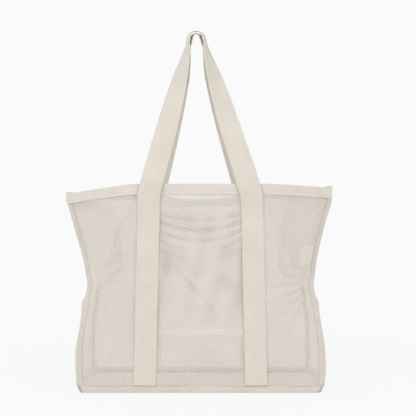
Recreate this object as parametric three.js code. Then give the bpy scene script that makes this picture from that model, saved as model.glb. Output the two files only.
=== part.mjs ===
// A mesh beach tote: two mesh panels and two folding side gussets sewn to a flat bottom,
// with webbing that runs up each panel and carries on as a carrying loop.
// Millimetres, +Z up, the front faces -Y, and the origin is the middle of the bottom.
import * as THREE from "three";

// Driving dimensions.
const depth = 160;
const rimHeight = 372;
const cornerHeight = 361;
const backRimDrop = 6;
const backRimSag = 16;
const gussetRimSag = 6;
const cloth = 0.8;
const tapeCloth = 0.4;
const seamGap = 3.3;
const hemWidth = 17;
const hemStandOff = 1.25;
const bindingWidth = 12;
const bindingFoot = 0.6;
const bindingStandOff = 1.45;
const seamTapeWidth = 9;
const seamTapeEnd = 3;
const tapeStandOff = 2.6;
const webbingWidth = 40;
const webbingThickness = 2.2;
const strapFootX = 99.5;
const strapHeadX = 92;
const hingeHeight = 327;
const apexHeight = 654;
const apexShift = -8;
const archRadius = 11;
const handleGap = 0.5;
const fitGap = 0.3;

// The bag's side profile: half its width and half its depth at the seam, at each height.
const profileHeight = [0, 40, 80, 135, 165, 190, 210, 230, 280, 320, 344];
const profileWidth = [213, 212, 211, 206, 204, 203, 209, 214, 229, 241, 249];
const profileDepth = [80, 80, 80, 76, 70, 57, 42, 28, 14, 8.5, 7];
// How far the middle of a gusset goes in past the seams, and how far it bellies out.
const foldIn = [0, 0, 0, 0, 0, 34, 58, 68, 77, 80, 80];
const bellyOut = [0, 10, 14, 11, 7, 0, 0, 0, 0, 0, 0];
const creaseFoot = { height: 190, inset: 36 };
const creaseHeadX = 116;
const mouthEndX = 250;
// How rounded the folds are: 0 is a sharp fold and 1 is nearly a round one.
const creaseRound = 0.35;
const foldRound = 0.12;
const bottomCornerRound = 0.25;
const hemFoot = cornerHeight - hemWidth;

const clothColumns = 24;
const clothRows = 16;
const gussetColumns = 12;

const colours = {
  mesh: { color: 0xd9d2c6, roughness: 0.9 },
  hem: { color: 0xdcd6ca, roughness: 0.85 },
  webbing: { color: 0xdbd4c8, roughness: 0.85 },
  lining: { color: 0xe2ded6, roughness: 0.9 },
  label: { color: 0xe6e0d2, roughness: 0.8 },
};

const clamp = THREE.MathUtils.clamp;
const lerp = THREE.MathUtils.lerp;

function material(kind) {
  return new THREE.MeshStandardMaterial({ ...colours[kind], metalness: 0 });
}

// Reads a profile at a height, as a smooth curve through its stations.
function profile(values, height) {
  const last = profileHeight.length - 1;
  const z = clamp(height, profileHeight[0], profileHeight[last]);
  let i = 0;
  while (i < last - 1 && z > profileHeight[i + 1]) i += 1;
  const slopeAt = (k) => {
    const a = Math.max(k - 1, 0);
    const b = Math.min(k + 1, last);
    return (values[b] - values[a]) / (profileHeight[b] - profileHeight[a]);
  };
  const span = profileHeight[i + 1] - profileHeight[i];
  const t = (z - profileHeight[i]) / span;
  const ease = t * t * (3 - 2 * t);
  const leave = t * (1 - t) ** 2 * span * slopeAt(i);
  const arrive = t * t * (t - 1) * span * slopeAt(i + 1);
  return lerp(values[i], values[i + 1], ease) + leave + arrive;
}

// A V with a rounded point: 0 at the fold line and 1 at a seam.
function softV(s, round) {
  return (Math.hypot(s, round) - round) / (Math.hypot(1, round) - round);
}

// A closed sheet of cloth: u runs across it, v runs along it, and both go from 0 to 1.
function sheetGeometry(place, thickness, across, along) {
  const geometry = new THREE.BoxGeometry(1, 1, 1, across, along, 1);
  const position = geometry.attributes.position;
  const step = 1e-3;
  const point = new THREE.Vector3();
  for (let i = 0; i < position.count; i += 1) {
    point.fromBufferAttribute(position, i);
    const u = point.x + 0.5;
    const v = point.y + 0.5;
    const alongU = place(u + step, v).sub(place(u - step, v));
    const alongV = place(u, v + step).sub(place(u, v - step));
    const normal = alongU.cross(alongV).normalize();
    const moved = place(u, v).addScaledVector(normal, point.z * thickness);
    position.setXYZ(i, moved.x, moved.y, moved.z);
  }
  // A box cuts the quads of its two broad faces along opposite diagonals. The second face is cut
  // again here the way the first is, so that the two stay parallel where thin cloth twists.
  const corners = geometry.index.array;
  const { start, count } = geometry.groups[5];
  for (let i = start; i < start + count; i += 6) {
    const [a, b, d, , c] = corners.slice(i, i + 6);
    corners.set([a, b, c, a, c, d], i);
  }
  return geometry;
}

function addPiece(group, name, geometry, kind) {
  const mesh = new THREE.Mesh(geometry, material(kind));
  mesh.name = name;
  group.add(mesh);
}

// The top edge of a panel at x: level between the straps on the front, sagging on the back.
function rimAt(facing, x) {
  const strapEdge = strapHeadX + webbingWidth / 2;
  const outside = clamp((Math.abs(x) - strapEdge) / (mouthEndX - strapEdge), 0, 1);
  const level = lerp(rimHeight, cornerHeight, outside ** 1.2);
  if (facing < 0) return level;
  const sag = backRimSag * clamp(1 - (x / strapEdge) ** 2, 0, 1);
  return level - backRimDrop * (1 - outside) - sag;
}

// A point of a panel's middle surface; facing is -1 in front and 1 behind.
function panelPoint(facing, x, z) {
  const seamX = profile(profileWidth, z);
  const seamY = profile(profileDepth, z);
  const up = clamp((z - creaseFoot.height) / (hemFoot - creaseFoot.height), 0, 1);
  const creaseX = lerp(seamX - creaseFoot.inset, creaseHeadX, up);
  const beyond = clamp((Math.abs(x) - creaseX) / (seamX - creaseX), 0, 1.1);
  const y = depth / 2 - (depth / 2 - seamY) * softV(beyond, creaseRound);
  return new THREE.Vector3(x, facing * y, z);
}

// How far across a panel a column stands: the column at each edge is as wide as the seam tape.
function columnX(u, z) {
  const seamX = profile(profileWidth, z);
  const s = Math.abs(2 * u - 1);
  const inner = 1 - 2 / clothColumns;
  const inTape = clamp((s - inner) / (1 - inner), 0, 2);
  const x = (seamX - seamTapeWidth) * Math.min(s / inner, 1) + seamTapeWidth * inTape;
  return Math.sign(2 * u - 1) * x;
}

// A panel at u across and height z, with an offset along its outward face.
function onPanel(facing, u, z, out) {
  const x = columnX(u, z);
  const nearby = panelPoint(facing, x * 0.998, z);
  const base = panelPoint(facing, x, z);
  const slope = (base.y - nearby.y) / (base.x - nearby.x || 1);
  const normal = new THREE.Vector3(-slope * facing, facing, 0).normalize();
  normal.multiplyScalar(out);
  return base.add(normal);
}

// Turns (u, v) into (1 - u, v) on the back, so that every sheet keeps its face outward.
function facingU(facing, u) {
  return facing < 0 ? u : 1 - u;
}

// The height of a row of the cloth under a rim: the last row is the one inside the hem.
function rowHeight(rim, v) {
  const belowHem = (clothRows - 1) / clothRows;
  if (v <= belowHem) return (v / belowHem) * (rim - hemWidth);
  const inHem = (v - belowHem) * clothRows;
  return lerp(rim - hemWidth, rim - hemStandOff - cloth / 2, inHem);
}

function panelRowHeight(facing, u, v) {
  return rowHeight(rimAt(facing, columnX(u, cornerHeight)), v);
}

function panelGeometry(facing) {
  const place = (u, v) => {
    const side = facingU(facing, u);
    return onPanel(facing, side, panelRowHeight(facing, side, v), 0);
  };
  return sheetGeometry(place, cloth, clothColumns, clothRows);
}

// Where the cloth of a folded hem lies: 0 and 6 are its free edges, 1 to 5 go over the rim.
function hemFold(v) {
  const station = v * 6;
  const turn = (Math.PI * (clamp(station, 1, 5) - 1)) / 4;
  const leg = Math.max(1 - station, station - 5, 0);
  const down = hemStandOff * (1 - Math.sin(turn)) + leg * (hemWidth - hemStandOff);
  return { down, out: -hemStandOff * Math.cos(turn) };
}

function panelHemGeometry(facing) {
  const place = (u, v) => {
    const side = facingU(facing, u);
    const fold = hemFold(v);
    const rim = rimAt(facing, columnX(side, cornerHeight));
    return onPanel(facing, side, rim - fold.down, -fold.out);
  };
  return sheetGeometry(place, tapeCloth, clothColumns, 6);
}

// A gusset at s from -1 (front seam) to 1 (back seam); side is -1 at the left, 1 at the right.
function gussetPoint(side, s, z, out) {
  const corner = bottomCornerRound;
  const spread = (s / Math.hypot(s, corner)) * Math.hypot(1, corner);
  const halfDepth = profile(profileDepth, z) - seamGap;
  const inward = profile(foldIn, z) * (1 - softV(s, foldRound));
  const belly = profile(bellyOut, z) * (1 - spread * spread);
  const x = profile(profileWidth, z) - inward + belly;
  return new THREE.Vector3(side * (x + out), halfDepth * spread, z);
}

function gussetRim(s) {
  return cornerHeight - gussetRimSag * (1 - Math.abs(s));
}

function gussetS(side, u) {
  return side * (2 * u - 1);
}

function gussetGeometry(side) {
  const place = (u, v) => {
    const s = gussetS(side, u);
    return gussetPoint(side, s, rowHeight(gussetRim(s), v), 0);
  };
  return sheetGeometry(place, cloth, gussetColumns, clothRows);
}

// The hem that folds over a gusset's rim, with its two legs parallel to the gusset's faces.
function gussetHemGeometry(side) {
  const place = (u, v) => {
    const s = gussetS(side, u);
    const fold = hemFold(v);
    const z = gussetRim(s) - fold.down;
    const ahead = gussetPoint(side, s + 0.01, z, 0);
    const base = gussetPoint(side, s - 0.01, z, 0);
    const run = ahead.sub(base);
    const face = new THREE.Vector3(run.y, -run.x, 0).multiplyScalar(side).normalize();
    return gussetPoint(side, s, z, 0).addScaledVector(face, fold.out * -side);
  };
  return sheetGeometry(place, tapeCloth, gussetColumns, 6);
}

// The tape along a seam lies on the panel, steps over the hem and ends as a small tab.
function seamTapeGeometry(facing, side) {
  const place = (u, v) => {
    const z = Math.max(panelRowHeight(facing, side > 0 ? 1 : 0, v), bindingWidth + 1);
    const inward = side * facing < 0 ? 1 - u : u;
    const across = 0.5 + side * (0.5 - inward / clothColumns);
    const point = onPanel(facing, across, z, tapeStandOff);
    point.z += v >= 1 ? hemStandOff + seamTapeEnd : 0;
    return point;
  };
  return sheetGeometry(place, tapeCloth, 1, clothRows);
}

function frontBindingGeometry(facing) {
  const place = (u, v) => {
    const z = lerp(bindingFoot, bindingWidth, v);
    return onPanel(facing, facingU(facing, u), z, bindingStandOff);
  };
  return sheetGeometry(place, tapeCloth, 8, 1);
}

function sideBindingGeometry(side) {
  const reach = 0.96;
  const place = (u, v) => {
    const z = lerp(bindingFoot, bindingWidth, v);
    return gussetPoint(side, reach * gussetS(side, u), z, bindingStandOff + fitGap);
  };
  return sheetGeometry(place, tapeCloth, gussetColumns, 2);
}

function bottomGeometry() {
  const thickness = 1.4;
  const halfWidth = profileWidth[0] - cloth / 2 - 2 * fitGap;
  const halfDepth = depth / 2 - cloth / 2 - fitGap;
  const place = (u, v) =>
    new THREE.Vector3((2 * u - 1) * halfWidth, (2 * v - 1) * halfDepth, thickness / 2);
  return sheetGeometry(place, thickness, 1, 1);
}

const strapY = depth / 2 + cloth / 2 + fitGap + webbingThickness / 2;

function strapX(z) {
  return lerp(strapFootX, strapHeadX, z / hingeHeight);
}

// The stretch of webbing that is sewn to a panel.
function strapGeometry(facing, side) {
  const place = (u, v) => {
    const z = lerp(bindingWidth + 1, hingeHeight - 2 * fitGap, v);
    const x = side * strapX(z) - facing * (u - 0.5) * webbingWidth;
    return new THREE.Vector3(x, facing * strapY, z);
  };
  return sheetGeometry(place, webbingThickness, 2, 4);
}

// The middle line of a carrying loop, from its left foot over the arch to its right foot.
function loopCurve(facing) {
  const nested = facing > 0 ? webbingThickness + handleGap : 0;
  const archCentre = apexHeight - archRadius - nested;
  const radius = archRadius - nested * 0.6;
  const legPoints = [
    [strapHeadX, strapY, hingeHeight + fitGap],
    [strapHeadX, strapY + 0.2, 333],
    [91, strapY + 2.4, 351],
    [84.5, strapY + 2.4, 377],
    [69, 66, 434],
    [53.8, 50, 489],
    [35.5, 32, 557],
    [22.6, 19, 604],
    [14, 8.5, 633],
  ];
  const points = [];
  for (const side of [-1, 1]) {
    const leg = legPoints.map(([x, y, z]) => {
      const top = (z - hingeHeight) / (apexHeight - hingeHeight);
      const nestedX = x - nested * 0.6 * top;
      return new THREE.Vector3(side * nestedX + apexShift * top, facing * y, z - nested * top);
    });
    if (side > 0) leg.reverse();
    points.push(...leg);
    if (side > 0) continue;
    for (let turn = -72; turn <= 72; turn += 24) {
      const angle = THREE.MathUtils.degToRad(turn);
      const y = 4 * Math.abs(Math.sin(angle));
      const z = archCentre + radius * Math.cos(angle);
      points.push(new THREE.Vector3(radius * Math.sin(angle) + apexShift, facing * y, z));
    }
  }
  return new THREE.CatmullRomCurve3(points, false, "centripetal");
}

// The webbing turns edge-on towards the arch, less on the front loop than on the back one,
// so that the two lie one inside the other there and either can swing out.
function loopGeometry(facing) {
  const curve = loopCurve(facing);
  const twistFoot = 378;
  const archTwist = THREE.MathUtils.degToRad(facing < 0 ? 71 : 109);
  const place = (u, v) => {
    const t = clamp(v, 0, 1);
    const point = curve.getPoint(t);
    const tangent = curve.getTangent(t);
    point.addScaledVector(tangent, v - t);
    const outward = new THREE.Vector3(-tangent.z, 0, tangent.x).normalize();
    const height = (point.z - twistFoot) / (apexHeight - twistFoot);
    const twist = archTwist * clamp(height, 0, 1);
    const width = new THREE.Vector3(0, facing * Math.sin(twist), 0);
    width.addScaledVector(outward, -Math.cos(twist));
    return point.addScaledVector(width, facing * (0.5 - u) * webbingWidth);
  };
  return sheetGeometry(place, webbingThickness, 2, 64);
}

const pocket = { foot: 103, head: 331, hem: 9, cloth: 0.6, hemCloth: 1.2, lift: 6.6 };

// The pocket lies against the inside of the front panel and stands open at its top.
function pocketPoint(u, z) {
  const t = (z - pocket.foot) / (pocket.head - pocket.foot);
  const halfWidth = strapX(z) + 8;
  const s = 2 * u - 1;
  const lift = pocket.lift * (1 - s ** 6) * (1 - (1 - t) ** 6);
  const y = -depth / 2 + cloth / 2 + fitGap + pocket.hemCloth / 2 + lift;
  return new THREE.Vector3(s * halfWidth, y, z);
}

function pocketGeometry(low, high, thickness, rows) {
  const place = (u, v) => pocketPoint(u, lerp(low, high, v));
  return sheetGeometry(place, thickness, 14, rows);
}

// A blank care label caught in the right front seam, inside the bag.
function labelGeometry() {
  const label = { width: 30, height: 34, middle: 239, inset: 9, cloth: 0.5 };
  const standOff = new THREE.Vector3(0, 5, 0);
  const place = (u, v) => {
    const z = label.middle + (v - 0.5) * label.height;
    const x = profile(profileWidth, z) - label.inset - label.width * (1 - u);
    return panelPoint(-1, x, z).add(standOff);
  };
  return sheetGeometry(place, label.cloth, 3, 2);
}

const beachBag = new THREE.Group();
const sewnBag = new THREE.Group();
beachBag.add(sewnBag);

for (const [facing, end] of [
  [-1, "front"],
  [1, "back"],
]) {
  addPiece(sewnBag, `${end}_mesh_panel`, panelGeometry(facing), "mesh");
  addPiece(sewnBag, `${end}_top_hem`, panelHemGeometry(facing), "hem");
  addPiece(sewnBag, `${end}_bottom_binding`, frontBindingGeometry(facing), "hem");
  for (const [side, hand] of [
    [-1, "left"],
    [1, "right"],
  ]) {
    addPiece(sewnBag, `${end}_${hand}_strap`, strapGeometry(facing, side), "webbing");
    addPiece(sewnBag, `${end}_${hand}_seam_tape`, seamTapeGeometry(facing, side), "hem");
  }
  addPiece(beachBag, `${end}_handle`, loopGeometry(facing), "webbing");
}
for (const [side, hand] of [
  [-1, "left"],
  [1, "right"],
]) {
  addPiece(sewnBag, `${hand}_gusset`, gussetGeometry(side), "mesh");
  addPiece(sewnBag, `${hand}_gusset_hem`, gussetHemGeometry(side), "hem");
  addPiece(sewnBag, `${hand}_bottom_binding`, sideBindingGeometry(side), "hem");
}
addPiece(sewnBag, "bottom_panel", bottomGeometry(), "mesh");

const pocketCloth = { low: pocket.foot + pocket.hem, high: pocket.head - pocket.hem };
addPiece(
  sewnBag,
  "inner_pocket_panel",
  pocketGeometry(pocketCloth.low + fitGap, pocketCloth.high - fitGap, pocket.cloth, 8),
  "lining",
);
addPiece(
  sewnBag,
  "pocket_bottom_hem",
  pocketGeometry(pocket.foot, pocketCloth.low, pocket.hemCloth, 1),
  "lining",
);
addPiece(
  sewnBag,
  "pocket_top_hem",
  pocketGeometry(pocketCloth.high, pocket.head, pocket.hemCloth, 1),
  "lining",
);
addPiece(sewnBag, "side_label", labelGeometry(), "label");

export default beachBag;
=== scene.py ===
import math

import bpy
import mathutils
import numpy as np
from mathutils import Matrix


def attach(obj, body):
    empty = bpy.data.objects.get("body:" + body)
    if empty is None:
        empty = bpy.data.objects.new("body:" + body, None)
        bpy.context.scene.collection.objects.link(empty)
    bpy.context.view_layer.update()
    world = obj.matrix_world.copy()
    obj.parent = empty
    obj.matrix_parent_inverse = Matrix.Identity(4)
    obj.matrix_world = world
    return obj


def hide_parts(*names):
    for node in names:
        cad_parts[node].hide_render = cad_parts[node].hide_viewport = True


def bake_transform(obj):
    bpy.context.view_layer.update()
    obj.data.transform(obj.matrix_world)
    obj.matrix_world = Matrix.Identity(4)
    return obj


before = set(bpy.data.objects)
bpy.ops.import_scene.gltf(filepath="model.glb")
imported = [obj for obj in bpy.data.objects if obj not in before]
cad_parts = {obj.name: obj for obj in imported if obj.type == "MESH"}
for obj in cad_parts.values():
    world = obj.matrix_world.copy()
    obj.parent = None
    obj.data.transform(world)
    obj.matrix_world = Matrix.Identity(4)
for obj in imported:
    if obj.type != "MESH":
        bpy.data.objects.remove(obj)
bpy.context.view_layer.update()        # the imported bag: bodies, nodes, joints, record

mm = 0.001               # shapes are worked out in millimetres and built in metres
ends = ((-1, "front"), (1, "back"))
hands = ((-1, "left"), (1, "right"))

# The bag's form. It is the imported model's, a little fuller near the foot.
bag = {
    "stations": [0, 15, 40, 80, 135, 165, 190, 210, 230, 280, 320, 344],     # heights
    "halfWidth": [211.5, 217.5, 219.5, 218.5, 212, 207, 203.5, 209, 214, 229, 241, 249],
    "halfDepth": [80, 80, 80, 80, 76, 70, 57, 42, 28, 14, 8.5, 7],
    "foldIn": [0, 0, 0, 0, 0, 0, 34, 58, 68, 77, 80, 80],
    "bellyOut": [7, 10, 11, 11, 9, 7, 1, 0, 0, 0, 0, 0],
    "depth": 160,
    "rimHeight": 372,
    "cornerHeight": 361,
    "cornerTilt": 5.5,       # the right corner stands this much higher, the left one lower
    "mouthEnd": 250,
    "backRimDrop": 6,
    "backRimSag": 20,
    "gussetRimSag": 6,
    "hemWidth": 17,
    "hemFoot": 344,
    "creaseFoot": 190,
    "creaseInset": 36,
    "creaseHead": 116,
    "creaseRound": 0.15,
    "creaseRidge": 2.0,
    "ridgeWidth": 2.2,
    "strapEdge": 112,
    "seamGap": 0.8,
    "gussetCorner": 0.25,
    "gussetRound": 0.12,
    "gussetRipple": 0.9,
    "lean": 2.5,             # the upper part has slumped this far to the left
    "leanFrom": 190,
    "leanOver": 110,
}


def profile(name, z):        # a smooth curve through the stations
    height = np.array(bag["stations"], float)
    value = np.array(bag[name], float)
    slope = np.empty_like(value)
    slope[1:-1] = (value[2:] - value[:-2]) / (height[2:] - height[:-2])
    slope[0] = (value[1] - value[0]) / (height[1] - height[0])
    slope[-1] = (value[-1] - value[-2]) / (height[-1] - height[-2])
    z = np.clip(z, height[0], height[-1])
    i = np.clip(np.searchsorted(height, z, side="right") - 1, 0, len(height) - 2)
    span = height[i + 1] - height[i]
    t = (z - height[i]) / span
    ease = t * t * (3 - 2 * t)
    leave = t * (1 - t) ** 2 * span * slope[i]
    arrive = t * t * (t - 1) * span * slope[i + 1]
    return value[i] + (value[i + 1] - value[i]) * ease + leave + arrive


def softV(s, roundness):     # a V with a rounded point: 0 at the fold, 1 at the seam
    return (np.hypot(s, roundness) - roundness) / (np.hypot(1, roundness) - roundness)


def smooth(t):
    t = np.clip(t, 0, 1)
    return t * t * (3 - 2 * t)


def unit(vectors):
    return vectors / np.linalg.norm(vectors, axis=-1, keepdims=True)


def rimAt(facing, x):        # top edge of a panel; the back one sags between its straps
    edge = bag["strapEdge"]
    outside = np.clip((np.abs(x) - edge) / (bag["mouthEnd"] - edge), 0, 1)
    level = bag["rimHeight"] + (bag["cornerHeight"] - bag["rimHeight"]) * outside**1.2
    level = level + bag["cornerTilt"] * np.sign(x) * outside
    if facing < 0:
        return level
    sag = bag["backRimSag"] * np.clip(1 - (x / edge) ** 2, 0, 1)
    return level - bag["backRimDrop"] * (1 - outside) - sag


# Drag lines that fan out of the waist, and slow waves of slack cloth.
waves = {"waist": 196, "seam": 203, "fan": 1.7, "fanCount": 19, "fanReach": 95, "slack": 0.7}


def clothWaves(facing, x, z):
    inward = waves["seam"] - np.abs(x)
    up = z - waves["waist"]
    far = np.hypot(inward, up)
    angle = np.arctan2(up, inward + 1e-6)
    fan = np.cos(waves["fanCount"] * angle + np.sign(x) * 0.8 + facing)
    fan = fan * waves["fan"] * np.exp(-far / waves["fanReach"]) * smooth(far / 30)
    slow = np.sin(x / 31 + z / 47 + facing) + np.sin(x / 53 - z / 29 + 2 * facing)
    slow = slow + 0.6 * np.sin(x / 17 + z / 83 + 4) * np.sin(z / 23 - facing)
    held = smooth((bag["hemFoot"] - z) / 60) * smooth(z / 25) * smooth(inward / 25)
    return held * (fan + waves["slack"] * slow)


def leaning(z):
    return bag["lean"] * smooth((z - bag["leanFrom"]) / bag["leanOver"])


def panelPoint(facing, x, z):            # facing is -1 in front and 1 behind
    seamX = profile("halfWidth", z)
    seamY = profile("halfDepth", z)
    up = np.clip((z - bag["creaseFoot"]) / (bag["hemFoot"] - bag["creaseFoot"]), 0, 1)
    creaseX = seamX - bag["creaseInset"]
    creaseX = creaseX + (bag["creaseHead"] - creaseX) * up
    beyond = np.clip((np.abs(x) - creaseX) / (seamX - creaseX), 0, 1.1)
    half = bag["depth"] / 2
    y = half - (half - seamY) * softV(beyond, bag["creaseRound"])
    ridge = np.exp(-((np.abs(x) - creaseX) / bag["ridgeWidth"]) ** 2)
    ridge = ridge * smooth(up / 0.15) * smooth((0.98 - up) / 0.2)
    y = y + bag["creaseRidge"] * ridge
    return np.stack([x - leaning(z), facing * y, z + 0 * x], -1)


def onPanel(facing, x, z, out=0.0):      # a point of the panel, or one that stands off it
    step = 0.2
    z = z + 0 * x
    run = panelPoint(facing, x + step, z) - panelPoint(facing, x - step, z)
    face = unit(np.stack([-run[..., 1], run[..., 0], 0 * x], -1)) * -1
    face = face * np.sign(face[..., 1:2] * facing)
    return panelPoint(facing, x, z) + face * (out + clothWaves(facing, x, z))[..., None]


def gussetPoint(side, s, z, out=0.0):    # s runs from -1 at the front seam to 1 at the back
    corner = bag["gussetCorner"]
    across = s / np.hypot(s, corner) * np.hypot(1, corner)
    halfDepth = profile("halfDepth", z) - bag["seamGap"]
    inward = profile("foldIn", z) * (1 - softV(s, bag["gussetRound"]))
    square = 2 + 2 * smooth((100 - z) / 70)      # the side stands out more squarely near the base
    belly = profile("bellyOut", z) * (1 - np.abs(across) ** square)
    ripple = bag["gussetRipple"] * np.sin(z / 13 + side) * np.sin(4 * s + side)
    ripple = ripple * smooth((1 - np.abs(s)) / 0.4)
    x = profile("halfWidth", z) - inward + belly + ripple * smooth((300 - z) / 60)
    return np.stack([side * (x + out) - leaning(z), halfDepth * across, z + 0 * s], -1)


def gussetRim(side, s):
    rim = bag["cornerHeight"] + side * bag["cornerTilt"]
    return rim - bag["gussetRimSag"] * (1 - np.abs(s))


def addMesh(name, points, faces, uv, material):
    mesh = bpy.data.meshes.new(name)
    mesh.from_pydata((np.asarray(points) * mm).tolist(), [], faces)
    layer = mesh.uv_layers.new(name="cloth")            # place on the flat cloth, in metres
    corners = np.empty(len(mesh.loops), np.int32)
    mesh.loops.foreach_get("vertex_index", corners)
    flat = (np.asarray(uv)[corners] * mm).astype(np.float32)
    layer.data.foreach_set("uv", flat.ravel())
    mesh.shade_smooth()
    mesh.materials.append(material)
    piece = bpy.data.objects.new(name, mesh)
    bpy.context.scene.collection.objects.link(piece)
    return piece


def clothLengths(grid):      # how far each point lies across and along the flat cloth
    across = np.linalg.norm(np.diff(grid, axis=1), axis=-1)
    across = np.concatenate([np.zeros((grid.shape[0], 1)), np.cumsum(across, 1)], 1)
    across -= across[:, -1:] / 2
    along = np.linalg.norm(np.diff(grid, axis=0), axis=-1)
    along = np.concatenate([np.zeros((1, grid.shape[1])), np.cumsum(along, 0)], 0)
    return np.stack([across, along], -1)


def gridFaces(rows, columns, first=0, flip=False, closed=False):
    faces = []
    for j in range(rows - 1):
        for i in range(columns if closed else columns - 1):
            a = first + j * columns + i
            b = first + j * columns + (i + 1) % columns
            quad = [a, b, b + columns, a + columns]
            faces.append(quad[::-1] if flip else quad)
    return faces


def makeCloth(name, place, across, along, material, thickness=0.0, body="bag_body"):
    u, v = np.meshgrid(np.linspace(0, 1, across + 1), np.linspace(0, 1, along + 1))
    grid = place(u, v)
    uv = clothLengths(grid).reshape(-1, 2)
    rows, columns = u.shape
    points = grid.reshape(-1, 3)
    faces = gridFaces(rows, columns)
    if thickness:            # two skins with a rim, for cloth that is thick enough to see
        face = unit(np.cross(np.gradient(grid, axis=1), np.gradient(grid, axis=0)))
        skin = (face * thickness / 2).reshape(-1, 3)
        points = np.concatenate([points + skin, points - skin])
        uv = np.concatenate([uv, uv])
        count = rows * columns
        faces += gridFaces(rows, columns, count, flip=True)
        ring = [(0, i) for i in range(columns)]
        ring += [(j, columns - 1) for j in range(1, rows)]
        ring += [(rows - 1, i) for i in range(columns - 2, -1, -1)]
        ring += [(j, 0) for j in range(rows - 2, 0, -1)]
        ring = [j * columns + i for j, i in ring]
        faces += [[b, a, a + count, b + count] for a, b in zip(ring, ring[1:] + ring[:1])]
    piece = addMesh(name, points, faces, uv, material)
    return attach(piece, body) if body else piece


def paint(code):             # a colour such as "dcd6ca", as the linear values of a node
    parts = [int(code[i:i + 2], 16) / 255 for i in (0, 2, 4)]
    parts = [c / 12.92 if c <= 0.04045 else ((c + 0.055) / 1.055) ** 2.4 for c in parts]
    return (*parts, 1.0)


def maths(tree, operation, *values, clamp=False):
    node = tree.nodes.new("ShaderNodeMath")
    node.operation = operation
    node.use_clamp = clamp
    for socket, value in zip(node.inputs, values):
        if isinstance(value, (int, float)):
            socket.default_value = value
        else:
            tree.links.new(value, socket)
    return node.outputs[0]


def newGroup(name, inputs, outputs):
    tree = bpy.data.node_groups.new(name, "ShaderNodeTree")
    for label, kind, value in inputs:
        socket = tree.interface.new_socket(label, in_out="INPUT", socket_type=kind)
        if value is not None:
            socket.default_value = value
    for label, kind in outputs:
        tree.interface.new_socket(label, in_out="OUTPUT", socket_type=kind)
    return tree, tree.nodes.new("NodeGroupInput").outputs, tree.nodes.new("NodeGroupOutput").inputs


def splitPlace(tree, place):
    node = tree.nodes.new("ShaderNodeSeparateXYZ")
    tree.links.new(place, node.inputs[0])
    return node.outputs[0], node.outputs[1]


def slipped(tree, place, scale, amount):  # threads wander from their straight lines
    noise = tree.nodes.new("ShaderNodeTexNoise")
    noise.inputs["Scale"].default_value = scale
    noise.inputs["Detail"].default_value = 1
    tree.links.new(place, noise.inputs["Vector"])
    centred = tree.nodes.new("ShaderNodeVectorMath")
    centred.operation = "SUBTRACT"
    centred.inputs[1].default_value = (0.5, 0.5, 0.5)
    tree.links.new(noise.outputs["Color"], centred.inputs[0])
    moved = tree.nodes.new("ShaderNodeVectorMath")
    moved.operation = "MULTIPLY_ADD"
    tree.links.new(centred.outputs[0], moved.inputs[0])
    if isinstance(amount, float):
        moved.inputs[1].default_value = (amount,) * 3
    else:
        tree.links.new(amount, moved.inputs[1])
    tree.links.new(place, moved.inputs[2])
    return moved.outputs[0]


# How a net's threads stray: noise scales to the metre, and how its bunched rows run.
netStray = {"cloth": 9, "rows": 12, "rowDrift": 0.014, "rowSlant": 0.3, "cross": 1.15,
            "crossShare": 0.5, "thread": 60, "holeCorner": 3.5, "holeEdge": 2.5}


def makeNetGroup():          # an open net: threads both ways round holes with soft corners
    tree, given, made = newGroup(
        "openNet",
        [("Place", "NodeSocketVector", None), ("Pitch", "NodeSocketFloat", 0.0013),
         ("Hole", "NodeSocketFloat", 0.62), ("Drift", "NodeSocketFloat", 0.003),
         ("Slip", "NodeSocketFloat", 0.0003), ("Band", "NodeSocketFloat", 0.0044),
         ("Uneven", "NodeSocketFloat", 0.1)],
        [("Cover", "NodeSocketFloat"), ("Height", "NodeSocketFloat"), ("Row", "NodeSocketFloat")],
    )
    place = slipped(tree, given["Place"], netStray["cloth"], given["Drift"])
    rows = slipped(tree, given["Place"], netStray["rows"], netStray["rowDrift"])
    bandX, bandY = splitPlace(tree, rows)
    bandY = maths(tree, "MULTIPLY_ADD", bandX, netStray["rowSlant"], bandY)
    band = maths(tree, "DIVIDE", bandX, given["Band"])
    band = maths(tree, "SINE", maths(tree, "MULTIPLY", band, 2 * math.pi))
    cross = maths(tree, "DIVIDE", bandY, given["Band"])
    cross = maths(tree, "SINE", maths(tree, "MULTIPLY", cross, netStray["cross"] * math.pi))
    band = maths(tree, "MULTIPLY_ADD", cross, netStray["crossShare"], band)
    tree.links.new(maths(tree, "MULTIPLY_ADD", band, 0.25, 0.5), made["Row"])
    uneven = maths(tree, "MULTIPLY_ADD", band, given["Uneven"], 1.0)   # threads lie closer in bands
    hole = maths(tree, "MULTIPLY", given["Hole"], uneven)
    place = slipped(tree, place, netStray["thread"], given["Slip"])
    sides = []
    for along in splitPlace(tree, place):
        cell = maths(tree, "FRACT", maths(tree, "DIVIDE", along, given["Pitch"]))
        far = maths(tree, "ABSOLUTE", maths(tree, "SUBTRACT", cell, 0.5))
        far = maths(tree, "DIVIDE", maths(tree, "MULTIPLY", far, 2.0), hole)
        sides.append(maths(tree, "POWER", far, netStray["holeCorner"]))
    total = maths(tree, "ADD", *sides)
    cover = maths(tree, "SUBTRACT", total, 1.0)
    cover = maths(tree, "MULTIPLY_ADD", cover, netStray["holeEdge"], 0.5, clamp=True)
    tree.links.new(cover, made["Cover"])
    tree.links.new(maths(tree, "MINIMUM", total, 3.0), made["Height"])
    return tree


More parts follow.
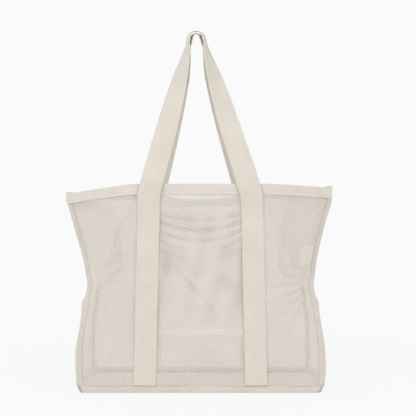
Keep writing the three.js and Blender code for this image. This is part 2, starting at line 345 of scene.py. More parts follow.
def makeWeaveGroup():        # plain weave: threads pass over and under each other
    tree, given, made = newGroup(
        "plainWeave",
        [("Place", "NodeSocketVector", None), ("Across", "NodeSocketFloat", 0.0007),
         ("Along", "NodeSocketFloat", 0.0007)],
        [("Height", "NodeSocketFloat"), ("Gap", "NodeSocketFloat")],
    )
    turned = []
    for along, size in zip(splitPlace(tree, given["Place"]), ("Across", "Along")):
        turn = maths(tree, "DIVIDE", maths(tree, "MULTIPLY", along, math.pi), given[size])
        turned.append(maths(tree, "SINE", turn))
    height = maths(tree, "ABSOLUTE", maths(tree, "MULTIPLY", *turned))
    tree.links.new(height, made["Height"])
    tree.links.new(maths(tree, "SUBTRACT", 1.0, maths(tree, "POWER", height, 0.3)), made["Gap"])
    return tree


def makeTwillGroup():        # webbing: slanting ribs that turn back in each narrow stripe
    yarnWidth = 0.0008
    tree, given, made = newGroup(
        "webbingTwill",
        [("Place", "NodeSocketVector", None), ("Rib", "NodeSocketFloat", 0.0011),
         ("Stripe", "NodeSocketFloat", 0.005)],
        [("Height", "NodeSocketFloat"), ("Gap", "NodeSocketFloat")],
    )
    x, y = splitPlace(tree, given["Place"])
    slant = maths(tree, "PINGPONG", x, given["Stripe"])
    rib = maths(tree, "DIVIDE", maths(tree, "ADD", y, slant), given["Rib"])
    rib = maths(tree, "ABSOLUTE", maths(tree, "SINE", maths(tree, "MULTIPLY", rib, math.pi)))
    yarn = maths(tree, "DIVIDE", maths(tree, "MULTIPLY", x, math.pi), yarnWidth)
    yarn = maths(tree, "ABSOLUTE", maths(tree, "SINE", yarn))
    height = maths(tree, "MULTIPLY_ADD", yarn, 0.35, maths(tree, "POWER", rib, 0.6))
    tree.links.new(height, made["Height"])
    tree.links.new(maths(tree, "SUBTRACT", 1.0, maths(tree, "POWER", rib, 0.3)), made["Gap"])
    return tree


toneDrift = {"scale": 22, "detail": 5, "roughness": 0.62, "spread": 1.8, "from": -0.4}


def makeToneGroup():         # one colour that drifts to another; painted shade darkens it in thread gaps and in fold hollows
    tree, given, made = newGroup(
        "clothTone",
        [("Place", "NodeSocketVector", None), ("Light", "NodeSocketColor", None),
         ("Deep", "NodeSocketColor", None), ("Gap", "NodeSocketFloat", 0.0),
         ("Shade", "NodeSocketFloat", 0.25), ("Dim", "NodeSocketColor", None),
         ("Hollow", "NodeSocketFloat", 0.0), ("Drift", "NodeSocketFloat", 1.0)],
        [("Color", "NodeSocketColor"), ("Roughness", "NodeSocketFloat")],
    )
    drift = tree.nodes.new("ShaderNodeTexNoise")
    drift.inputs["Scale"].default_value = toneDrift["scale"]
    drift.inputs["Detail"].default_value = toneDrift["detail"]
    drift.inputs["Roughness"].default_value = toneDrift["roughness"]
    tree.links.new(given["Place"], drift.inputs["Vector"])
    share = maths(tree, "MULTIPLY_ADD", drift.outputs["Fac"], toneDrift["spread"],
                  toneDrift["from"], clamp=True)
    share = maths(tree, "MULTIPLY", share, given["Drift"])
    share = maths(tree, "MULTIPLY_ADD", given["Gap"], given["Shade"], share, clamp=True)
    mix = tree.nodes.new("ShaderNodeMix")
    mix.data_type = "RGBA"
    tree.links.new(share, mix.inputs["Factor"])
    tree.links.new(given["Light"], mix.inputs["A"])
    tree.links.new(given["Deep"], mix.inputs["B"])
    # painted shade: the colour darkens toward a shade colour where the fold mask is high
    paintedFoldShade = tree.nodes.new("ShaderNodeMix")
    paintedFoldShade.data_type = "RGBA"
    tree.links.new(given["Hollow"], paintedFoldShade.inputs["Factor"])
    tree.links.new(mix.outputs["Result"], paintedFoldShade.inputs["A"])
    tree.links.new(given["Dim"], paintedFoldShade.inputs["B"])
    tree.links.new(paintedFoldShade.outputs["Result"], made["Color"])
    tree.links.new(maths(tree, "MULTIPLY_ADD", share, 0.12, 0.8), made["Roughness"])
    return tree


patterns = {"openNet": makeNetGroup(), "plainWeave": makeWeaveGroup(),
            "webbingTwill": makeTwillGroup()}
toneGroup = makeToneGroup()

# Each finish: its colours, its pattern and how that pattern is sized, in metres.
netSizes = {"Pitch": 0.001, "Hole": 0.57, "Drift": 0.008, "Slip": 0.0004,
            "Band": 0.0037, "Uneven": 0.12}
finishes = {
    "net": {"light": "f1eae2", "deep": "cec5ba", "pattern": "openNet", "sizes": netSizes,
            "bump": 0.0001, "shade": 0.52, "drift": 0.3, "sheen": 0.1, "lightThrough": 0.75},
    "backNet": {"light": "eee7de", "deep": "cec5ba", "pattern": "openNet",
                "sizes": {**netSizes, "Pitch": 0.00088, "Band": 0.0041, "Uneven": 0.13},
                "bump": 0.0001, "shade": 0.5, "drift": 0.3, "sheen": 0.1, "lightThrough": 0.75},
    # a lighter copy of the net for the gussets: painted light, for light the sides lack
    "sideNet": {"light": "f9f4ed", "deep": "d9d1c7", "pattern": "openNet", "sizes": netSizes,
                "bump": 0.0001, "shade": 0.52, "drift": 0.3, "sheen": 0.1, "lightThrough": 0.82},
    "baseNet": {"light": "d2c7b7", "deep": "c2b6a5", "pattern": "openNet",
                "sizes": {**netSizes, "Hole": 0.5, "Band": 0.0044, "Uneven": 0.04},
                "bump": 0.0001, "shade": 0.0, "drift": 0.3, "sheen": 0.1, "lightThrough": 0.6},
    "binding": {"light": "dfd8ce", "deep": "d2c9bd", "pattern": "plainWeave",
                "sizes": {"Across": 0.0009, "Along": 0.0007},
                "bump": 0.0002, "shade": 0.3, "sheen": 0.2},
    "hem": {"light": "e5dfd7", "deep": "d9d1c8", "pattern": "plainWeave",
            "sizes": {"Across": 0.0009, "Along": 0.0007},
            "bump": 0.0002, "shade": 0.3, "sheen": 0.2},
    "tape": {"light": "e1dbd0", "deep": "d4ccbe", "pattern": "plainWeave",
             "sizes": {"Across": 0.0008, "Along": 0.0011},
             "bump": 0.0003, "shade": 0.4, "sheen": 0.2},
    "webbing": {"light": "e7e0d5", "deep": "ddd5c9", "pattern": "webbingTwill",
                "sizes": {"Rib": 0.0012, "Stripe": 0.005},
                "bump": 0.00035, "shade": 0.3, "sheen": 0.25},
    # the lining's fold hollows darken toward a painted shade colour, the third colour here
    "lining": {"light": "ebe6df", "deep": "dfd9d2", "paintedFoldShade": "877f77", "pattern": "plainWeave",
               "sizes": {"Across": 0.0006, "Along": 0.0006},
               "bump": 0.00015, "shade": 0.2, "sheen": 0.3},
    "pocketHem": {"light": "fbf6ee", "deep": "efe9e0", "pattern": "plainWeave",
                  "sizes": {"Across": 0.0006, "Along": 0.0006},
                  "bump": 0.00015, "shade": 0.15, "sheen": 0.3},
    # the seam edges' dark colour is painted shade, for the shadowed lines along the back seams
    "allowance": {"light": "b5aa9c", "deep": "a19689", "pattern": "plainWeave",
                  "sizes": {"Across": 0.0009, "Along": 0.0009},
                  "bump": 0.0002, "shade": 0.3, "sheen": 0.1},
    "label": {"light": "f8f1df", "deep": "efe6d2", "pattern": "plainWeave",
              "sizes": {"Across": 0.0004, "Along": 0.0004},
              "bump": 0.0001, "shade": 0.15, "sheen": 0.1},
    "thread": {"light": "f2ede3", "deep": "e2dbcd", "pattern": "plainWeave",
               "sizes": {"Across": 0.0003, "Along": 0.0008},
               "bump": 0.0001, "shade": 0.2, "sheen": 0.3},
}


def newFinish(name):
    values = finishes[name]
    material = bpy.data.materials.new(name)
    material.use_nodes = True
    tree = material.node_tree
    shader = tree.nodes["Principled BSDF"]
    place = tree.nodes.new("ShaderNodeUVMap")
    place.uv_map = "cloth"
    pattern = tree.nodes.new("ShaderNodeGroup")
    pattern.node_tree = patterns[values["pattern"]]
    tone = tree.nodes.new("ShaderNodeGroup")
    tone.node_tree = toneGroup
    bump = tree.nodes.new("ShaderNodeBump")
    tree.links.new(place.outputs["UV"], pattern.inputs["Place"])
    tree.links.new(place.outputs["UV"], tone.inputs["Place"])
    for size, value in values["sizes"].items():
        pattern.inputs[size].default_value = value
    tone.inputs["Light"].default_value = paint(values["light"])
    tone.inputs["Deep"].default_value = paint(values["deep"])
    tone.inputs["Shade"].default_value = values["shade"]
    tone.inputs["Drift"].default_value = values.get("drift", 1.0)
    if "paintedFoldShade" in values:                  # the hollows of folds get painted shade, a darker colour mixed in
        hollow = tree.nodes.new("ShaderNodeAttribute")
        hollow.attribute_name = "hollow"
        tone.inputs["Dim"].default_value = paint(values["paintedFoldShade"])
        tree.links.new(hollow.outputs["Fac"], tone.inputs["Hollow"])
    bump.inputs["Distance"].default_value = values["bump"]
    tree.links.new(pattern.outputs["Height"], bump.inputs["Height"])
    tree.links.new(bump.outputs["Normal"], shader.inputs["Normal"])
    tree.links.new(tone.outputs["Color"], shader.inputs["Base Color"])
    tree.links.new(tone.outputs["Roughness"], shader.inputs["Roughness"])
    # painted shade: the colour darkens in the gaps between threads
    if "Gap" in pattern.outputs:
        tree.links.new(pattern.outputs["Gap"], tone.inputs["Gap"])
    if "Row" in pattern.outputs:         # where the threads bunch up, the net looks darker
        tree.links.new(pattern.outputs["Row"], tone.inputs["Gap"])
    if "Cover" in pattern.outputs:       # fine pale threads let most of the light on through
        path = tree.nodes.new("ShaderNodeLightPath")
        lit = maths(tree, "MAXIMUM", path.outputs["Is Shadow Ray"], path.outputs["Is Diffuse Ray"])
        held = maths(tree, "MULTIPLY_ADD", lit, -values["lightThrough"], 1.0)
        cover = maths(tree, "MULTIPLY", pattern.outputs["Cover"], held)
        tree.links.new(cover, shader.inputs["Alpha"])
    shader.inputs["Sheen Weight"].default_value = values["sheen"]
    shader.inputs["Sheen Roughness"].default_value = 0.5
    shader.inputs["Specular IOR Level"].default_value = 0.25
    return material


cloths = {name: newFinish(name) for name in finishes}
print("finishes made:", ", ".join(finishes))

# Camera and lights: level with the middle of the bag, straight on to its front.
studio = {
    "camera": (0, -1.375, 0.329), "lens": 63.0, "shift": 0.018,
    "behind": 0.956, "around": 0.79, "floorDiffuse": 0.15, "floorBounce": 0.93,
    "keyPlace": (-1.6, -2.2, 2.4), "keySize": 1.8, "keyPower": 38,
    "fillPlace": (1.8, -1.6, 1.0), "fillSize": 1.6, "fillPower": 10,
    "aim": (0, 0, 0.3), "floorNear": 0.9, "floorFade": 1.6, "floorGrey": 0.9, "floorHalf": 9.0,
    "floorDrop": 0.0006,
}


def addLamp(name, place, size, power, colour):
    lamp = bpy.data.lights.new(name, "AREA")
    lamp.shape = "DISK"
    lamp.size = size
    lamp.energy = power
    lamp.color = colour
    holder = bpy.data.objects.new(name, lamp)
    holder.location = place
    aim = np.array(studio["aim"]) - np.array(place)
    holder.rotation_mode = "QUATERNION"
    holder.rotation_quaternion = mathutils.Vector(aim).to_track_quat("-Z", "Y")
    bpy.context.scene.collection.objects.link(holder)


def makeStudio():
    scene = bpy.context.scene
    camera = bpy.data.cameras.new("camera")
    camera.lens = studio["lens"]
    camera.sensor_width = 36
    camera.shift_x = studio["shift"]
    holder = bpy.data.objects.new("camera", camera)
    holder.location = studio["camera"]
    holder.rotation_euler = (math.pi / 2, 0, 0)
    scene.collection.objects.link(holder)
    scene.camera = holder
    scene.view_settings.view_transform = "Standard"
    world = bpy.data.worlds.new("studio")
    world.use_nodes = True
    scene.world = world
    tree = world.node_tree
    light = tree.nodes["Background"]
    light.inputs["Color"].default_value = (1, 1, 1, 1)
    light.inputs["Strength"].default_value = studio["around"]
    seen = tree.nodes.new("ShaderNodeBackground")
    seen.inputs["Color"].default_value = (studio["behind"],) * 3 + (1,)
    path = tree.nodes.new("ShaderNodeLightPath")
    mix = tree.nodes.new("ShaderNodeMixShader")
    tree.links.new(path.outputs["Is Camera Ray"], mix.inputs[0])
    tree.links.new(light.outputs[0], mix.inputs[1])
    tree.links.new(seen.outputs[0], mix.inputs[2])
    tree.links.new(mix.outputs[0], tree.nodes["World Output"].inputs["Surface"])
    addLamp("keyLamp", studio["keyPlace"], studio["keySize"], studio["keyPower"], (1, 0.99, 0.97))
    addLamp("fillLamp", studio["fillPlace"], studio["fillSize"], studio["fillPower"], (1, 1, 1))


def makeFloor():             # a pale floor that shows a soft shadow only close to the bag
    material = bpy.data.materials.new("paleFloor")
    material.use_nodes = True
    tree = material.node_tree
    tree.nodes.clear()
    place = tree.nodes.new("ShaderNodeTexCoord")
    length = tree.nodes.new("ShaderNodeVectorMath")
    length.operation = "LENGTH"
    tree.links.new(place.outputs["Object"], length.inputs[0])
    near = maths(tree, "SUBTRACT", studio["floorNear"], length.outputs["Value"])
    near = maths(tree, "MULTIPLY", near, studio["floorFade"], clamp=True)
    near = maths(tree, "MULTIPLY", near, studio["floorDiffuse"])
    glow = tree.nodes.new("ShaderNodeEmission")
    path = tree.nodes.new("ShaderNodeLightPath")
    seen = studio["behind"] - studio["floorBounce"]
    strength = maths(tree, "MULTIPLY_ADD", path.outputs["Is Camera Ray"], seen,
                     studio["floorBounce"])
    tree.links.new(strength, glow.inputs["Strength"])
    matte = tree.nodes.new("ShaderNodeBsdfDiffuse")
    matte.inputs["Color"].default_value = (studio["floorGrey"],) * 3 + (1,)
    mix = tree.nodes.new("ShaderNodeMixShader")
    out = tree.nodes.new("ShaderNodeOutputMaterial")
    tree.links.new(near, mix.inputs[0])
    tree.links.new(glow.outputs[0], mix.inputs[1])
    tree.links.new(matte.outputs[0], mix.inputs[2])
    tree.links.new(mix.outputs[0], out.inputs["Surface"])
    mesh = bpy.data.meshes.new("floor")
    half = studio["floorHalf"]
    mesh.from_pydata([(-half, -half, 0), (half, -half, 0), (half, half, 0), (-half, half, 0)],
                     [], [(0, 1, 2, 3)])
    mesh.materials.append(material)
    floor = bpy.data.objects.new("floor", mesh)
    floor.location.z = -studio["floorDrop"]
    bpy.context.scene.collection.objects.link(floor)


makeStudio()
makeFloor()
print("camera, lamps and floor placed")

# Panels and gussets: single sheets of open net.
sheets = {"panelColumns": 216, "panelRows": 150, "gussetColumns": 72, "gussetRows": 150,
          "foot": 1.0, "underHem": 1.7, "cornerTuck": 0.012,
          "baseHalfWidth": 212, "baseHalfDepth": 79}


def makePanel(facing, end):
    def place(u, v):
        s = 2 * u - 1
        rim = rimAt(facing, s * bag["mouthEnd"]) - sheets["underHem"]
        z = sheets["foot"] + (rim - sheets["foot"]) * v
        x = s * profile("halfWidth", z)
        corner = smooth((np.abs(s) - 0.95) / 0.05) * smooth((12 - z) / 12)
        return onPanel(facing, x * (1 - sheets["cornerTuck"] * corner), z)

    piece = makeCloth(f"{end}_net_panel", place, sheets["panelColumns"], sheets["panelRows"],
                      cloths["net" if facing < 0 else "backNet"])
    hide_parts(f"{end}_mesh_panel")
    return piece


def makeGusset(side, hand):
    def place(u, v):
        s = 2 * u - 1
        rim = gussetRim(side, s) - sheets["underHem"]
        z = sheets["foot"] + (rim - sheets["foot"]) * v
        return gussetPoint(side, s, z)

    # the gussets take the lighter net copy, which paints on light they lack
    piece = makeCloth(f"{hand}_net_gusset", place, sheets["gussetColumns"],
                      sheets["gussetRows"], cloths["sideNet"])
    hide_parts(f"{hand}_gusset")
    return piece


def makeBottom():
    wide, deep = sheets["baseHalfWidth"], sheets["baseHalfDepth"]

    def place(u, v):
        y = (2 * v - 1) * deep
        x = (2 * u - 1) * (wide + bag["bellyOut"][0] * (1 - (y / deep) ** 4))
        z = 0.9 + 0.5 * np.sin(x / 37) * np.sin(y / 21 + 1)
        return np.stack([x, y, z], -1)

    piece = makeCloth("bottom_net_panel", place, 80, 30, cloths["baseNet"])
    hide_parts("bottom_panel")
    return piece


panels = {facing: makePanel(facing, end) for facing, end in ends}
gussets = {side: makeGusset(side, hand) for side, hand in hands}
bottom = makeBottom()
print("net panels, gussets and bottom made")

# Folded hems: the section goes up one leg, over the rim and down the other.
hemForm = {"standOff": 1.2, "cloth": 0.55, "bead": 0.45, "pucker": 0.3, "puckerStep": 9,
           "section": 40, "rows": (2.8, 13.2), "gussetShare": 0.9}


def hemFold(v):              # how far down from the rim, and how far out, along the section
    width, off = bag["hemWidth"], hemForm["standOff"]
    path = v * (2 * width + math.pi * off)
    leg = width - off
    turn = np.clip((path - leg) / off, 0, math.pi)
    below = np.maximum(leg - path, 0) + np.maximum(path - leg - math.pi * off, 0)
    return off * (1 - np.sin(turn)) + below, -off * np.cos(turn)


def hemPucker(run, down):    # slight hollows along the stitches near the leg's lower edge
    near = np.exp(-((down - bag["hemWidth"] + 3) / 3.5) ** 2)
    slow = 0.25 * np.sin(run / 23) + 0.15 * np.sin(run / 9 + 1)
    bead = hemForm["bead"] * np.exp(-((down - bag["hemWidth"] + 1) / 0.9) ** 2)
    pucker = 1 + np.cos(2 * math.pi * run / hemForm["puckerStep"])
    return slow + bead - hemForm["pucker"] * near * pucker


def makePanelHem(facing, end):
    def place(u, v):
        s = 2 * u - 1
        down, out = hemFold(v)
        top = rimAt(facing, s * bag["mouthEnd"])
        z = top - down
        x = s * profile("halfWidth", z)
        out = out + np.sign(out) * hemPucker(x, down) * smooth(down / 4)
        return onPanel(facing, x, z, out)

    piece = makeCloth(f"{end}_rim_hem", place, 260, hemForm["section"], cloths["hem"],
                      hemForm["cloth"])
    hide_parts(f"{end}_top_hem")
    return piece


def makeGussetHem(side, hand):
    def place(u, v):
        s = 2 * u - 1
        down, out = hemFold(v)
        z = gussetRim(side, s) - down
        step = 0.01
        run = gussetPoint(side, s + step, z) - gussetPoint(side, s - step, z)
        face = unit(np.stack([run[..., 1], -run[..., 0], 0 * s], -1))
        return gussetPoint(side, s, z) + face * (out * hemForm["gussetShare"])[..., None]

    piece = makeCloth(f"{hand}_gusset_rim_hem", place, 72, hemForm["section"], cloths["hem"],
                      hemForm["cloth"])
    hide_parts(f"{hand}_gusset_hem")
    return piece


panelHems = {facing: makePanelHem(facing, end) for facing, end in ends}
gussetHems = {side: makeGussetHem(side, hand) for side, hand in hands}
print("rim hems folded over")

# Seam tapes: they run up each upright seam, inside the hem's fold, and end as a small tab.
tapeForm = {"width": 9, "cloth": 0.5, "standOff": 0.75, "underHem": 0.25, "tab": 3.4, "foot": 13,
            "rows": (2, 7)}


def makeSeamTape(facing, side, end, hand):
    def place(u, v):
        top = rimAt(facing, side * bag["mouthEnd"])
        z = tapeForm["foot"] + (top + tapeForm["tab"] - tapeForm["foot"]) * v
        z = z + 0 * u
        level = np.minimum(z, top)
        inward = tapeForm["width"] * (1 - u) if side * facing > 0 else tapeForm["width"] * u
        x = side * (profile("halfWidth", level) - inward + 0.3)
        under = smooth((z - top + bag["hemWidth"] + 4) / 5)      # 1 where the hem covers it
        out = tapeForm["standOff"] - tapeForm["underHem"] * under
        out = out + 0.12 * np.sin(z / 7) * (1 - under)
        point = onPanel(facing, x, level, out)
        point[..., 2] = z
        return point

    name = f"{end}_{hand}_seam_binding"
    piece = makeCloth(name, place, 6, 120, cloths["tape"], tapeForm["cloth"])
    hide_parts(f"{end}_{hand}_seam_tape")
    return piece


# Bottom binding: a tape folded under the bottom edge, a little wavy between its stitches.
bindingForm = {"width": 12, "cloth": 0.8, "under": 4.0, "wave": 0.75, "halfLength": 213,
               "cornerLift": 3.5, "rowHeight": 8.5, "rowReach": 208}


def bindingSection(v):       # height and how far out, from the upper edge to the fold under
    stations = np.array([0, 0.3, 0.62, 0.8, 0.9, 1.0])
    height = np.interp(v, stations, [bindingForm["width"], 8, 3, 1.0, 0.55, 0.5])
    out = np.interp(v, stations, [0.9, 1.7, 1.8, 1.2, 0.3, -bindingForm["under"]])
    return height, out


def bindingWave(run):
    return bindingForm["wave"] * (np.sin(run / 19 + 1) + 0.6 * np.sin(run / 7.3))


def makePanelBinding(facing, end):
    def place(u, v):
        x = (2 * u - 1) * bindingForm["halfLength"]
        height, out = bindingSection(v)
        height = height + bindingWave(x) * smooth(height / 10)
        height = height + bindingForm["cornerLift"] * smooth((np.abs(x) - 203) / 10)
        out = out + 0.5 * bindingWave(x + 60) * smooth(height / 8)
        return onPanel(facing, x, height, np.minimum(out, 3.0))

    piece = makeCloth(f"{end}_edge_binding", place, 170, 14, cloths["binding"],
                      bindingForm["cloth"])
    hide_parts(f"{end}_bottom_binding")
    return piece


def makeGussetBinding(side, hand):
    def place(u, v):
        s = (2 * u - 1) * 0.985
        height, out = bindingSection(v)
        height = height + bindingWave(70 * s) * smooth(height / 10)
        return gussetPoint(side, s, height, out)

    piece = makeCloth(f"{hand}_edge_binding", place, 60, 14, cloths["binding"],
                      bindingForm["cloth"])
    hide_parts(f"{hand}_bottom_binding")
    return piece


tapes = []
bindings = []
for facing, end in ends:
    bindings.append(makePanelBinding(facing, end))
    for side, hand in hands:
        tapes.append(makeSeamTape(facing, side, end, hand))
for side, hand in hands:
    bindings.append(makeGussetBinding(side, hand))
print("seam tapes and bottom bindings sewn on")

# Webbing: one length runs up the left of a panel, over as the loop, and down its right.
webbing = {
    "width": 40, "thickness": 2.2, "edge": 0.9, "foot": 13,
    "footX": 99.5, "headX": 92, "hinge": 327, "apex": 663, "apexShift": -8,
    "archRadius": 14, "loopGap": 2.4,
    "twistAt": [378, 470, 540, 586, 612, 637, 660],
    "twist": {-1: [0, 14, 33, 52, 66, 80, 77],       # degrees, in front
              1: [0, 14, 33, 54, 74, 96, 103]},      # and behind
    "legs": [(92, 82.0, 333), (91, 84.2, 351), (84.5, 84.2, 377), (69, 66, 434),
             (53.8, 50, 489), (35.5, 32, 557), (23.6, 19, 604), (17.4, 9, 633)],
    "blend": 30, "step": 3.0,
    "rowAcross": 17.5, "rowLevels": (16, 325), "bars": (16, 323, 325.5),
}


def strapX(z):
    share = z / webbing["hinge"]
    return webbing["footX"] + (webbing["headX"] - webbing["footX"]) * share


def strapY():
    return bag["depth"] / 2 + 0.7 + webbing["thickness"] / 2


def loopPoints(facing):      # from the left strap's foot, over the arch, to the right one's
    nested = webbing["thickness"] + webbing["loopGap"] if facing > 0 else 0
    rise = webbing["apex"] - webbing["hinge"]
    points = []
    for side in (-1, 1):
        levels = (webbing["foot"], 90, 170, 250, webbing["hinge"])
        leg = [(side * strapX(z), facing * strapY(), z) for z in levels]
        for x, y, z in webbing["legs"]:
            top = (z - webbing["hinge"]) / rise
            inner = nested * smooth((z - 560) / 80)
            leg.append((side * (x - inner) + webbing["apexShift"] * top, facing * y, z))
        points += leg if side < 0 else leg[::-1]
        if side < 0:
            radius = webbing["archRadius"] - nested
            centre = webbing["apex"] - webbing["archRadius"]
            for turn in range(-72, 73, 24):
                angle = math.radians(turn)
                points.append((radius * math.sin(angle) + webbing["apexShift"],
                               facing * 4 * abs(math.sin(angle)),
                               centre + radius * math.cos(angle)))
    return np.array(points, float)


def smoothPath(points, step):            # centripetal curve through the points, evenly sampled
    before, after = 2 * points[0] - points[1], 2 * points[-1] - points[-2]
    p = np.concatenate([[before], points, [after]])
    gap = np.linalg.norm(np.diff(p, axis=0), axis=1) ** 0.5
    line = []
    for i in range(1, len(p) - 2):
        a, b, c, d = p[i - 1:i + 3]
        g0, g1, g2 = gap[i - 1:i + 2]
        leave = ((b - a) / g0 - (c - a) / (g0 + g1) + (c - b) / g1) * g1
        arrive = ((c - b) / g1 - (d - b) / (g1 + g2) + (d - c) / g2) * g1
        t = np.linspace(0, 1, 24, endpoint=False)[:, None]
        line.append(b * (2 * t**3 - 3 * t**2 + 1) + c * (3 * t**2 - 2 * t**3)
                    + leave * (t**3 - 2 * t**2 + t) + arrive * (t**3 - t**2))
    line = np.concatenate(line + [p[-2:-1]])
    far = np.concatenate([[0], np.cumsum(np.linalg.norm(np.diff(line, axis=0), axis=1))])
    at = np.linspace(0, far[-1], int(far[-1] / step) + 1)
    return np.stack([np.interp(at, far, line[:, k]) for k in range(3)], 1), at


def webbingSection():        # round the flat section, with soft edges
    half, thick, edge = webbing["width"] / 2, webbing["thickness"] / 2, webbing["edge"]
    across = np.linspace(-1, 1, 13)
    flat = across * (half - edge)
    dip = thick * (1 - 0.05 * np.cos(across * math.pi))
    top = [(a, b) for a, b in zip(flat, dip)]
    turn = np.radians([50, 0, -50])
    right = [(half - edge + edge * math.cos(t), thick * math.sin(t)) for t in turn]
    low = [(-a, -b) for a, b in top]
    left = [(-a, -b) for a, b in right]
    return np.array(top + right + low + left)


def makeWebbing(facing, end):
    line, at = smoothPath(loopPoints(facing), webbing["step"])
    tangent = unit(np.gradient(line, axis=0))
    outward = unit(np.stack([-tangent[:, 2], 0 * at, tangent[:, 0]], -1))
    twist = np.radians(np.interp(line[:, 2], webbing["twistAt"], webbing["twist"][facing]))
    width = np.stack([0 * at, facing * np.sin(twist), 0 * at], -1)
    width = width - outward * np.cos(twist)[:, None]
    face = unit(np.cross(width, tangent))
    section = webbingSection()
    ripple = 0.12 * np.sin(at / 11) * smooth((line[:, 2] - 340) / 40)
    points = (line[:, None] + width[:, None] * section[None, :, :1]
              + face[:, None] * (section[None, :, 1:] + ripple[:, None, None]))
    rows, columns = len(line), len(section)
    faces = gridFaces(rows, columns, closed=True)
    faces.append(list(range(columns))[::-1])
    faces.append([(rows - 1) * columns + i for i in range(columns)])
    uv = np.stack(np.broadcast_arrays(section[None, :, 0], at[:, None]), -1)
    piece = addMesh(f"{end}_webbing", points.reshape(-1, 3), faces, uv.reshape(-1, 2),
                    cloths["webbing"])
    flipOutward(piece)
    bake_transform(piece)
    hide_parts(f"{end}_left_strap", f"{end}_right_strap", f"{end}_handle")


def flipOutward(piece):      # turns a closed mesh's faces outward if they all look inward
    mesh = piece.data
    volume = 0.0
    for face in mesh.polygons:
        a = mesh.vertices[face.vertices[0]].co
        for k in range(1, len(face.vertices) - 1):
            b = mesh.vertices[face.vertices[k]].co
            c = mesh.vertices[face.vertices[k + 1]].co
            volume += a.dot(b.cross(c))
    if volume < 0:
        mesh.flip_normals()


for facing, end in ends:
    makeWebbing(facing, end)
print("webbing sewn up the panels and over as loops")

# Inner pocket: slack between the straps, so it hangs in swags near its mouth.
pocket = {
    "foot": 103, "head": 331, "hem": 9, "cloth": 0.6, "hemCloth": 1.5, "lift": 7,
    # the next line's last value: how strongly painted shade darkens the fold hollows
    "swag": 8, "lump": 1.9, "crumple": 2.4, "underStrap": 8, "hollow": 0.95,
    "swags": [(0.945, 0.05, 0.6, 0.014), (0.885, 0.07, 1.0, 0.018), (0.82, 0.09, 0.9, 0.020),
              (0.745, 0.10, 0.6, 0.024), (0.66, 0.08, 0.4, 0.030)],
    "lumps": [(0.22, 0.60, 0.13, 0.10, 4.5), (0.02, 0.31, 0.12, 0.10, 4.0),      # where it bulges
              (-0.60, 0.52, 0.10, 0.08, -4.5), (0.50, 0.42, 0.12, 0.09, -2.5),   # or sinks in
              (-0.45, 0.16, 0.14, 0.10, 2.5), (0.45, 0.74, 0.12, 0.07, 2.0)],
    "slant": {"height": 0.32, "fall": 0.5, "middle": -0.05, "spread": 0.030, "reach": 0.33},
}


def pocketFolds(s, t):       # s runs across from -1 to 1, t runs up from 0 to 1
    swag = 0
    for level, dip, height, spread in pocket["swags"]:
        away = t - level + dip * (1 - (s / 0.75) ** 2)
        swag = swag + height * np.exp(-(away / spread) ** 2) * (0.55 + 0.7 * s**2)
    lumps = 0
    for middleS, middleT, spreadS, spreadT, height in pocket["lumps"]:
        away = ((s - middleS) / spreadS) ** 2 + ((t - middleT) / spreadT) ** 2
        lumps = lumps - height * np.exp(-away)
    line = pocket["slant"]
    aside = s - line["middle"]
    slant = np.exp(-((t - line["height"] + line["fall"] * aside) / line["spread"]) ** 2)
    slant = slant * np.exp(-(aside / line["reach"]) ** 2)
    fine = np.sin(9 * s + 5 * t) * np.sin(13 * t - 4 * s + 1) + 0.5 * np.sin(17 * s - 9 * t)
    fine = fine * smooth(t / 0.2) * smooth((1 - t) / 0.1)
    edge = smooth((1 - np.abs(s)) / 0.12)
    folds = pocket["swag"] * (swag + 0.8 * slant) + pocket["lump"] * lumps
    return edge * (folds + pocket["crumple"] * fine)


def pocketPlace(low, high):
    def place(u, v):
        z = low + (high - low) * v + 0 * u
        t = (z - pocket["foot"]) / (pocket["head"] - pocket["foot"])
        s = 2 * u - 1
        x = s * (strapX(z) + pocket["underStrap"])
        lift = pocket["lift"] * (1 - s**6) * (1 - (1 - t) ** 4)
        folds = np.maximum(lift + pocketFolds(s, t), 0) * smooth(t / 0.06)
        return onPanel(-1, x, z, -1.3 - folds)

    return place


def paintFoldShade(piece, low, high):       # painted shade for the fold hollows: how deep each point lies in a fold, from 0 to 1
    points = np.empty(len(piece.data.vertices) * 3)
    piece.data.vertices.foreach_get("co", points)
    x, z = points.reshape(-1, 3)[:, 0] / mm, points.reshape(-1, 3)[:, 2] / mm
    up = (z - pocket["foot"]) / (pocket["head"] - pocket["foot"])
    folds = pocketFolds(x / (strapX(z) + pocket["underStrap"]), up)
    hollow = pocket["hollow"] * smooth((folds + 3) / 14)
    hollow = hollow * smooth((z - low) / 20) * smooth((high - z) / 8)
    layer = piece.data.attributes.new("hollow", "FLOAT", "POINT")
    layer.data.foreach_set("value", hollow.astype(np.float32))


def makePocket():
    low, high = pocket["foot"] + pocket["hem"], pocket["head"] - pocket["hem"]
    body = makeCloth("inner_pocket", pocketPlace(low, high), 120, 130, cloths["lining"],
                     pocket["cloth"])
    paintFoldShade(body, low, high)
    foot = makeCloth("inner_pocket_foot_hem", pocketPlace(pocket["foot"], low + 1), 120, 8,
                     cloths["pocketHem"], pocket["hemCloth"])
    head = makeCloth("inner_pocket_mouth_hem", pocketPlace(high - 1, pocket["head"]), 120, 8,
                     cloths["lining"], pocket["hemCloth"])
    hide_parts("inner_pocket_panel")
    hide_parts("pocket_bottom_hem")
    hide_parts("pocket_top_hem")
    return body, foot, head


# Care label: blank, and caught in the right front seam.
label = {"width": 30, "height": 34, "middle": 242, "inset": 7, "standOff": 3.5, "cloth": 0.5}


